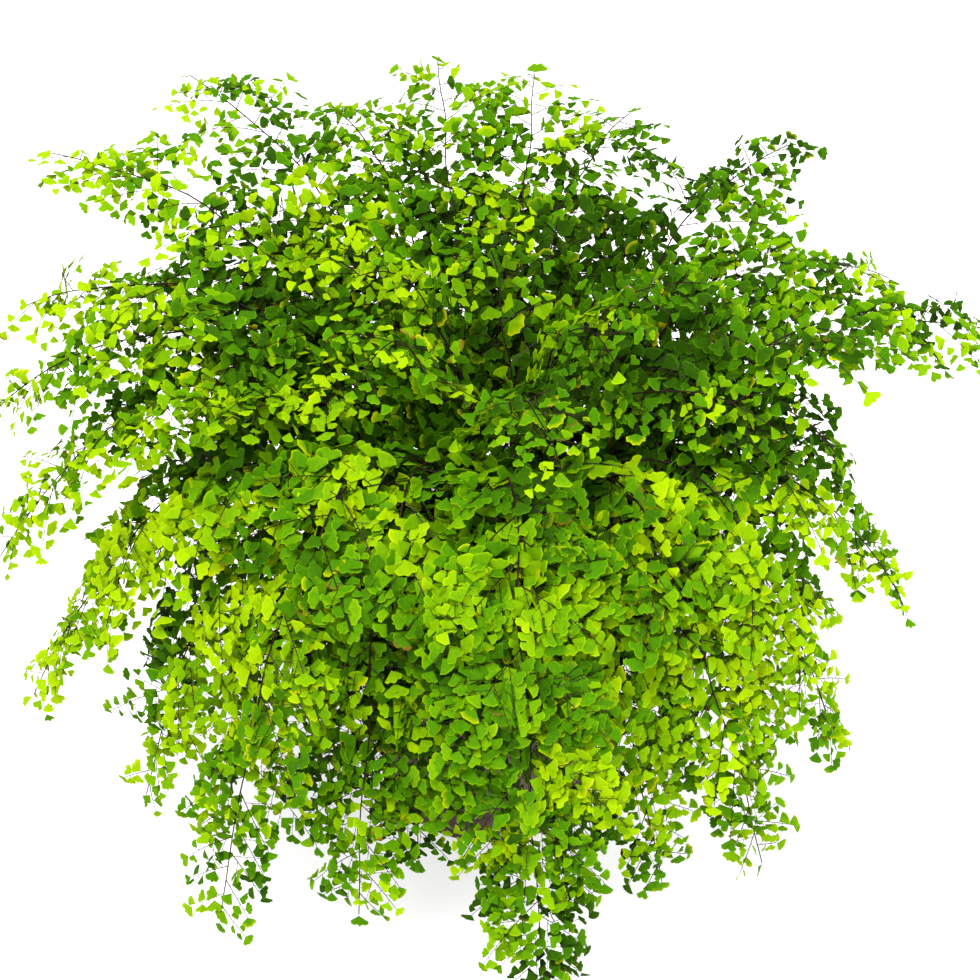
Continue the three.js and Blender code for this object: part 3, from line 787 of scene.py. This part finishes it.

# %% [markdown]
# ## The numbers of each leaflet
# Young leaflets near the tips are lighter. Leaflets far out and those on the side that faces the window get
# painted light, and leaflets that lie deep or stand on the shaded side get painted shade. Low ones are darker, as
# older leaflets and as painted shade. Branches differ too, and so does every leaflet a little. A few have turned
# yellow at the rim, and very few are brown. Pure chance would scatter light and dark evenly and make the plant
# flat, so only the small differences are left to it.

# %% Tones of leaflets
TONE, FROND_SPREAD, LEAFLET_SPREAD, LIGHTEST = 0.33, 0.05, 0.08, 0.74
# painted light on leaflets far out and on the window side; painted shade on deep, shaded-side and low ones
YOUNG_LIFT, WINDOW_PAINTED_LIGHT, FAR_PAINTED_LIGHT = 0.08, 0.08, 0.26
DEEP_PAINTED_SHADE, SHADED_SIDE_PAINTED_SHADE, LOW_AGE_AND_PAINTED_SHADE = 0.37, 0.18, 0.26
WINDOW_SIDE = unit(np.array([-0.4, -0.5, 0.5]))
SHADED_SIDE = unit(np.array([0.62, 0.20, 0.72]))
SHADED_FROM, SHADED_OVER = 0.80, 0.14
FAR_SCALE = np.array([1.05, 0.3, 0.4]) / 225
LOW_UNDER, LOW_OVER = SOIL_TOP + 10, 100
YELLOWING, YELLOW_SPREAD, YELLOW_BY_AGE = -0.75, 0.5, 0.3
BROWN_CHANCE, BROWNING = 0.012, (0.5, 1)


def own_numbers(chance, necks, ages, shades):
    """For each leaflet how light it is, with painted light and shade, how yellow its rim is and how brown its tip
    is.
    """
    count = len(necks)
    far = np.linalg.norm((necks - HEART) * FAR_SCALE, axis=1)
    from_crown = unit(necks - CROWN)
    shaded = np.clip((from_crown @ SHADED_SIDE - SHADED_FROM) / SHADED_OVER, 0, 1)
    low = np.clip((LOW_UNDER - necks[:, 2]) / LOW_OVER, 0, 1)
    tones = TONE + chance.normal(0, FROND_SPREAD)
    # painted light: leaflets far out and on the side that faces the window get a lighter tone
    tones += YOUNG_LIFT * ages + WINDOW_PAINTED_LIGHT * (from_crown @ WINDOW_SIDE) + FAR_PAINTED_LIGHT * far**2 + shades
    # painted shade: leaflets deep in the crown, on the shaded side and low down get a darker tone; low ones are
    # also older
    tones -= DEEP_PAINTED_SHADE * how_deep(necks) + SHADED_SIDE_PAINTED_SHADE * shaded + LOW_AGE_AND_PAINTED_SHADE * low
    tones += chance.normal(0, LEAFLET_SPREAD, count)
    yellow = np.clip(chance.normal(YELLOWING, YELLOW_SPREAD, count) + YELLOW_BY_AGE * ages, 0, 1)
    brown = (chance.random(count) < BROWN_CHANCE) * chance.uniform(*BROWNING, count)
    return np.column_stack([np.clip(tones, 0, LIGHTEST), yellow, brown])


# %% [markdown]
# ## Setting the leaflets
# Instances would be light to hold, but each leaflet needs its own cupping and curl, so every copy has corners of
# its own. All leaflets of a frond are laid out at once, which takes a moment instead of minutes. Each gets one of
# the five shapes, which may be turned over to its mirror image. Its three numbers and its flat map go to every
# one of its corners.

# %% Laying out leaflets
CUP, CUP_SPREAD = -0.10, 0.16
CURL, CURL_SPREAD = 0.10, 0.14
LEAFLET_EDGES, STALK_EDGES = 50, 75
LAYOUT_SEED = 1000


def place_leaflets(chance, model, necks, headings, faces, lengths):
    """Corners and triangles of copies of one leaflet shape."""
    corners, triangles = model
    count = len(necks)
    hand = chance.choice([-1.0, 1.0], count)[:, None]
    cup = chance.normal(CUP, CUP_SPREAD, count)[:, None]
    curl = chance.normal(CURL, CURL_SPREAD, count)[:, None]
    x, y, z = corners.T
    lift = z + cup * x**2 - curl * y**2
    size = lengths[:, None]
    sides = np.cross(headings, faces)
    placed = (
        necks[:, None]
        + (size * x * hand)[..., None] * sides[:, None]
        + (size * y)[..., None] * headings[:, None]
        + (size * lift)[..., None] * faces[:, None]
    )
    flipped = np.where(hand[:, :, None] < 0, triangles[None, :, ::-1], triangles[None])
    shifts = np.arange(count) * len(corners)
    return placed.reshape(-1, 3), (flipped + shifts[:, None, None]).reshape(-1, 3)


def lay_leaflets(name, plan, seed):
    chance = np.random.default_rng(seed)
    necks, headings, faces, lengths, ages, shades = (np.array(column) for column in zip(*plan.leaflets))
    kinds = chance.choice(len(leaflet_models), len(necks), p=LEAFLET_SHARES)
    numbers = own_numbers(chance, necks, ages, shades)
    shapes, maps, values = [], [], []
    for kind, model in enumerate(leaflet_models):
        here = np.flatnonzero(kinds == kind)
        shapes.append(place_leaflets(chance, model, necks[here], headings[here], faces[here], lengths[here]))
        x, y, _ = model[0].T
        maps.append(np.tile(np.column_stack([x * 0.5 + 0.5, y * 0.5]), (len(here), 1)))
        at_rim = np.tile(np.hypot(x, y) > AT_RIM, len(here))
        values.append(np.column_stack([np.repeat(numbers[here], len(x), axis=0), at_rim]))
    corners, triangles = join_shapes(shapes)
    piece = mesh_object(name, corners, triangles)
    fan = piece.data.uv_layers.new(name="fan")
    fan.data.foreach_set("uv", np.concatenate(maps)[triangles.ravel()].ravel())
    own = piece.data.attributes.new("leaflet", "FLOAT_COLOR", "POINT")
    own.data.foreach_set("color", np.concatenate(values).ravel())
    smooth(piece, LEAFLET_EDGES)
    return piece


total = 0
for i, (name, plan) in enumerate(plans.items()):
    stalks = mesh_object(name + "_stalks", *join_shapes(plan.tubes))
    smooth(stalks, STALK_EDGES)
    enter(stalks, stalk_material, "stalk", name)
    leaflets = lay_leaflets(name + "_leaflets", plan, LAYOUT_SEED + i)
    enter(leaflets, leaf_material, "leaf", name)
    total += len(stalks.data.polygons) + len(leaflets.data.polygons)
print("triangles in the fronds:", total)

# %% [markdown]
# ## The clay pot
# The pot is a thrown clay pot: a tapered wall with a thick collar, which stops one pot from jamming in the next.
# A profile could be spun round the axis. Here it grows the way a potter pulls up a wall: it starts as a disc with
# many sides, and the rim is extruded and widened ring by ring up the outside, over the lip and down the inside.

# %% Pot shape
POT_SIDES = 96
BASE_RADIUS, RIM_RADIUS, WALL, FLOOR, POT_HEIGHT = 50, 76, 6, 8, 130
COLLAR_FOOT, COLLAR_STEP = 103, 4
POT_PROFILE = [
    # radius and height, from the foot up the outside, over the lip and down to the floor inside
    (BASE_RADIUS, 0),
    (BASE_RADIUS + 0.2 * (RIM_RADIUS - COLLAR_STEP - BASE_RADIUS), 0.2 * COLLAR_FOOT),
    (RIM_RADIUS - COLLAR_STEP, COLLAR_FOOT),
    (RIM_RADIUS - 0.8, COLLAR_FOOT + 0.6),
    (RIM_RADIUS, COLLAR_FOOT + 3),
    (RIM_RADIUS, POT_HEIGHT - 2.5),
    (RIM_RADIUS - 1.8, POT_HEIGHT),
    (RIM_RADIUS - WALL + 1.2, POT_HEIGHT),
    (RIM_RADIUS - WALL - 0.3, POT_HEIGHT - 1.5),
    (BASE_RADIUS - WALL, FLOOR),
]

bpy.ops.object.select_all(action="DESELECT")
bpy.ops.mesh.primitive_circle_add(vertices=POT_SIDES, radius=BASE_RADIUS * MM, fill_type="NGON")
pot = bpy.context.object
pot.name = "clay_pot"
bpy.ops.object.mode_set(mode="EDIT")
bpy.ops.mesh.select_all(action="SELECT")
for (radius, height), (next_radius, next_height) in zip(POT_PROFILE, POT_PROFILE[1:]):
    bpy.ops.mesh.extrude_region_move(TRANSFORM_OT_translate={"value": (0, 0, (next_height - height) * MM)})
    scale = next_radius / radius
    bpy.ops.transform.resize(value=(scale, scale, 1), center_override=(0, 0, next_height * MM))
bpy.ops.mesh.select_all(action="SELECT")
bpy.ops.mesh.normals_make_consistent(inside=False)
bpy.ops.object.mode_set(mode="OBJECT")
print("rings of the pot:", len(POT_PROFILE))

# %% [markdown]
# ## Drain holes and soft edges
# Water leaves a pot through holes in its floor. The potter cuts them before firing, and here a Boolean modifier
# does it with three short cylinders, which is cleaner than cutting faces by hand. Fired clay has no sharp edge,
# so a Bevel modifier takes a little off each one.

# %% Drain holes and soft edges
DRAIN_RADIUS, DRAIN_CIRCLE, DRAIN_HOLES, DRAIN_SIDES = 5, 22, 3, 24
EDGE_WIDTH, EDGE_ANGLE = 0.8, 35
POT_EDGES = 40

for i in range(DRAIN_HOLES):
    turned = i * 2 * math.pi / DRAIN_HOLES
    place = (DRAIN_CIRCLE * MM * math.cos(turned), DRAIN_CIRCLE * MM * math.sin(turned), 0)
    bpy.ops.object.select_all(action="DESELECT")
    bpy.ops.mesh.primitive_cylinder_add(
        vertices=DRAIN_SIDES, radius=DRAIN_RADIUS * MM, depth=4 * FLOOR * MM, location=place
    )
    drill = bpy.context.object
    apply_modifier(pot, "BOOLEAN", operation="DIFFERENCE", object=drill, solver="EXACT")
    bpy.data.objects.remove(drill)
limit = math.radians(EDGE_ANGLE)
apply_modifier(pot, "BEVEL", width=EDGE_WIDTH * MM, segments=2, limit_method="ANGLE", angle_limit=limit)
settle(pot)
smooth(pot, POT_EDGES)
print("pot triangles:", sum(len(face.vertices) - 2 for face in pot.data.polygons))

# %% [markdown]
# ## Fired clay
# Unglazed clay is matt, with fine throwing lines, sandy grain and pale lime that water has carried through the
# wall, most of it low down. A photograph of clay would repeat itself round the pot, so all of it is noise on the
# piece's own coordinates. The clay is dark umber: it stays behind the leaves as a deep ground.

# %% Clay material
CLAY_BROWNS = [(0.3, (0.040, 0.026, 0.018)), (0.5, (0.062, 0.040, 0.027)), (0.7, (0.090, 0.060, 0.040))]
LIME = (0.26, 0.22, 0.18)
DARK_GRAIN = (0.020, 0.013, 0.010)
LIME_CLOUD = (0.475, 0.725)
THROWING_LINES, LINE_RELIEF = 2600.0, 0.12

clay_material, tree = new_material("fired_clay")
place = node(tree, "ShaderNodeTexCoord").outputs["Object"]
height_of = node(tree, "ShaderNodeSeparateXYZ", Vector=place).outputs[2]
tint = ramp(tree, noise(tree, 28.0, 5.0), CLAY_BROWNS)
low_down = maths(tree, "MULTIPLY_ADD", height_of, -7.0, 0.75, clamp=True)
cloud = rising(tree, noise(tree, 17.0, 6.0, 0.65), *LIME_CLOUD)
lime = maths(tree, "MULTIPLY", cloud, maths(tree, "MULTIPLY_ADD", low_down, 0.55, 0.12))
limed = blend_colour(tree, lime, tint, LIME)
grain = noise(tree, 1500.0, 2.0)
sandy = maths(tree, "MULTIPLY_ADD", grain, 0.9, -0.32, clamp=True)
speckled = blend_colour(tree, sandy, limed, DARK_GRAIN)
rings = maths(tree, "SINE", maths(tree, "MULTIPLY", height_of, THROWING_LINES))
rough_skin = maths(tree, "ADD", maths(tree, "MULTIPLY", rings, LINE_RELIEF), grain)
clay_relief = node(tree, "ShaderNodeBump", Strength=0.5, Distance=0.4 * MM, Height=rough_skin).outputs[0]
finish_material(clay_material, skin_shader(tree, speckled, 0.88, 0.25, Normal=clay_relief))
enter(pot, clay_material, "clay", "pot")

# %% [markdown]
# ## The soil
# The soil fills the pot, lumpy between the stalks and lower at the wall. Its top is divided into rings of faces by
# insets. A Displace modifier could push them up and down, but the crumbs that lie on the soil need to know its
# height, so a small formula with layers of ripples gives both.

# %% Soil shape
SOIL_SIDES = 64
SOIL_FOOT, SOIL_EDGE, SOIL_RISE = 8.3, 113, 4.2
SOIL_GAP, SLOPE_WIDTH = 0.6, 14
SOIL_RINGS, RING_WIDTH = 11, 5.2
SOIL_EDGES = 40


def soil_radius(height):
    """The inner radius of the pot at a height, less a small gap."""
    widening = (RIM_RADIUS - BASE_RADIUS) / (POT_HEIGHT - FLOOR)
    return BASE_RADIUS - WALL + widening * (height - FLOOR) - SOIL_GAP


def soil_height(x, y):
    """The lumpy top of the soil, which falls off towards the wall, in millimetres."""
    lumps = 1.3 * np.sin(x * 0.21 + 1.3) * np.cos(y * 0.17 + 0.4)
    lumps += 0.8 * np.sin(x * 0.43 + y * 0.31) * np.cos(y * 0.52 - x * 0.11 + 2.0)
    lumps += 0.45 * np.sin(x * 1.1 + 0.7 * y) * np.sin(y * 1.3 - 0.5 * x)
    inside = np.clip((soil_radius(SOIL_EDGE) - np.hypot(x, y)) / SLOPE_WIDTH, 0, 1)
    return SOIL_EDGE + inside * (SOIL_RISE + lumps)


bpy.ops.object.select_all(action="DESELECT")
bpy.ops.mesh.primitive_circle_add(
    vertices=SOIL_SIDES, radius=soil_radius(SOIL_FOOT) * MM, fill_type="NGON", location=(0, 0, SOIL_FOOT * MM)
)
soil = bpy.context.object
soil.name = "potting_soil"
settle(soil)
bpy.ops.object.mode_set(mode="EDIT")
bpy.ops.mesh.select_all(action="SELECT")
bpy.ops.mesh.extrude_region_move(TRANSFORM_OT_translate={"value": (0, 0, (SOIL_EDGE - SOIL_FOOT) * MM)})
scale = soil_radius(SOIL_EDGE) / soil_radius(SOIL_FOOT)
bpy.ops.transform.resize(value=(scale, scale, 1), center_override=(0, 0, SOIL_EDGE * MM))
for _ in range(SOIL_RINGS):
    bpy.ops.mesh.inset(thickness=RING_WIDTH * MM, depth=0)
bpy.ops.mesh.poke()
bpy.ops.mesh.select_all(action="SELECT")
bpy.ops.mesh.normals_make_consistent(inside=False)
bpy.ops.object.mode_set(mode="OBJECT")
places = np.array([corner.co for corner in soil.data.vertices]) / MM
top = places[:, 2] > SOIL_EDGE - 1
places[:, 2] = np.where(top, soil_height(places[:, 0], places[:, 1]), places[:, 2])
soil.data.vertices.foreach_set("co", (places * MM).ravel())
soil.data.update()
smooth(soil, SOIL_EDGES)
print("soil faces:", len(soil.data.polygons))

# %% [markdown]
# ## Crumbs
# Crumbs of bark and peat lie on the soil. Modelling each would be endless, and one shape is enough: a rough stone,
# squashed and pulled to one side, is copied many times, turned at random, and made larger now and then.

# %% Crumbs on the soil
CRUMBS, CRUMB_SEED = 420, 77
CRUMB_FIELD, CRUMB_OFF_WALL, CRUMB_LIFT = 66, 2.5, 0.1
CRUMB_SIZES, BIGGER, BIG_CHANCE = (0.6, 1.0), 1.6, 0.15

bpy.ops.object.select_all(action="DESELECT")
bpy.ops.mesh.primitive_ico_sphere_add(subdivisions=1, radius=1)
crumb = bpy.context.object
bpy.ops.object.mode_set(mode="EDIT")
bpy.ops.transform.resize(value=(1, 0.72, 0.5), center_override=(0, 0, 0))
pick(crumb, lambda place: place.x > 0.3)
bpy.ops.transform.translate(value=(0.2, -0.15, 0.1))
bpy.ops.object.mode_set(mode="OBJECT")
crumb_corners, crumb_faces = read_mesh(crumb)
bpy.data.objects.remove(crumb)
chance = np.random.default_rng(CRUMB_SEED)
crumbs = []
for _ in range(CRUMBS):
    far = CRUMB_FIELD * math.sqrt(chance.random())
    turned = chance.uniform(0, 2 * math.pi)
    x, y = far * math.cos(turned), far * math.sin(turned)
    size = chance.uniform(*CRUMB_SIZES) * (1 + BIGGER * (chance.random() < BIG_CHANCE))
    turning, _ = np.linalg.qr(chance.normal(size=(3, 3)))
    turning *= np.sign(np.linalg.det(turning))
    inwards = min(1, (soil_radius(SOIL_EDGE) - CRUMB_OFF_WALL) / max(far, 1))
    middle = [x * inwards, y * inwards, soil_height(x, y) + CRUMB_LIFT]
    crumbs.append((crumb_corners @ turning.T * size + middle, crumb_faces))
crumb_piece = mesh_object("soil_crumbs", *join_shapes(crumbs))
print("crumbs:", len(crumbs))

# %% [markdown]
# ## Peat
# Potting soil is nearly black where it is wet, with brown bits of bark. Modelling every grain isn't needed: fine
# noise gives both the colour and a strong relief. The crumbs share the same finish, so they melt into the ground.

# %% Soil material
PEAT_BROWNS = [(0.3, (0.010, 0.006, 0.004)), (0.55, (0.035, 0.020, 0.011)), (0.75, (0.085, 0.050, 0.028))]

soil_material, tree = new_material("peat_soil")
peat = ramp(tree, noise(tree, 260.0, 6.0, 0.7), PEAT_BROWNS)
clods = noise(tree, 700.0, 5.0)
peat_relief = node(tree, "ShaderNodeBump", Strength=0.9, Distance=1.2 * MM, Height=clods).outputs[0]
finish_material(soil_material, skin_shader(tree, peat, 0.95, 0.15, Normal=peat_relief))
enter(soil, soil_material, "soil", "soil")
enter(crumb_piece, soil_material, "soil", "soil")

# %% [markdown]
# ## Floor and light
# The photograph is a cut-out on white, lit softly from the upper left. A single hard lamp would leave black
# shadows between the leaflets. So a wide pale floor, which glows faintly, lies under a bright even sky and gives
# the white ground. One large lamp above the left front is the window, and a weaker one on the right fills the
# shade: leaflets glow, and only the deep middle of the plant stays dark, helped by the painted shade of the deep
# leaflets.

# %% Floor and light
FLOOR_SIZE, FLOOR_GREY, FLOOR_GLOW = 40, (0.55, 0.55, 0.55, 1), 0.55
WHITE = (1, 1, 1, 1)
SKY_STRENGTH = 1.05
LAMPS = [
    # name, place and size in metres, power
    ("key", (-0.5, -0.85, 2.0), 1.2, 100),
    ("fill", (1.5, -0.8, 0.45), 1.2, 38),
]

bpy.ops.object.select_all(action="DESELECT")
bpy.ops.mesh.primitive_plane_add(size=FLOOR_SIZE)
floor = bpy.context.object
floor.name = "floor"
floor_material, tree = new_material("pale_floor")
pale = node(tree, "ShaderNodeBsdfPrincipled", Base_Color=FLOOR_GREY, Roughness=0.8)
pale.inputs["Emission Color"].default_value = WHITE
pale.inputs["Emission Strength"].default_value = FLOOR_GLOW
finish_material(floor_material, pale.outputs[0])
floor.data.materials.append(floor_material)

world = bpy.data.worlds.new("white_studio")
bpy.context.scene.world = world
world.use_nodes = True
world.node_tree.nodes["Background"].inputs[0].default_value = WHITE
world.node_tree.nodes["Background"].inputs[1].default_value = SKY_STRENGTH
for name, place, size, power in LAMPS:
    light = bpy.data.lights.new(name, "AREA")
    light.size = size
    light.energy = power
    lamp = bpy.data.objects.new(name, light)
    bpy.context.scene.collection.objects.link(lamp)
    lamp.location = place
    lamp.rotation_euler = lamp.location.to_track_quat("Z", "Y").to_euler()
bpy.context.scene.view_settings.view_transform = "Standard"
print("lamps:", len(LAMPS))

# %% [markdown]
# ## Camera
# The camera stands in front and looks down on the plant, far enough away for the gentle perspective of the
# photograph. A camera close by would swell the front fronds. The crown lies a little under the middle of the
# picture, so the camera looks down a little less steeply than it would to have the crown in the middle.

# %% Camera
DISTANCE = 1.6
ELEVATION = math.radians(35)
FOCAL_PIXELS = 3137
PICTURE_PIXELS = 980
CROWN_BELOW_MIDDLE = 110
SENSOR_WIDTH = 36

camera = bpy.data.objects.new("camera", bpy.data.cameras.new("camera"))
bpy.context.scene.collection.objects.link(camera)
camera.location = CROWN * MM + DISTANCE * np.array([0, -math.cos(ELEVATION), math.sin(ELEVATION)])
looking_down = ELEVATION - math.atan(CROWN_BELOW_MIDDLE / FOCAL_PIXELS)
camera.rotation_euler = (math.pi / 2 - looking_down, 0, 0)
camera.data.sensor_width = SENSOR_WIDTH
camera.data.lens = SENSOR_WIDTH * FOCAL_PIXELS / PICTURE_PIXELS
bpy.context.scene.camera = camera
print("camera looks down by", round(math.degrees(looking_down), 2), "degrees")
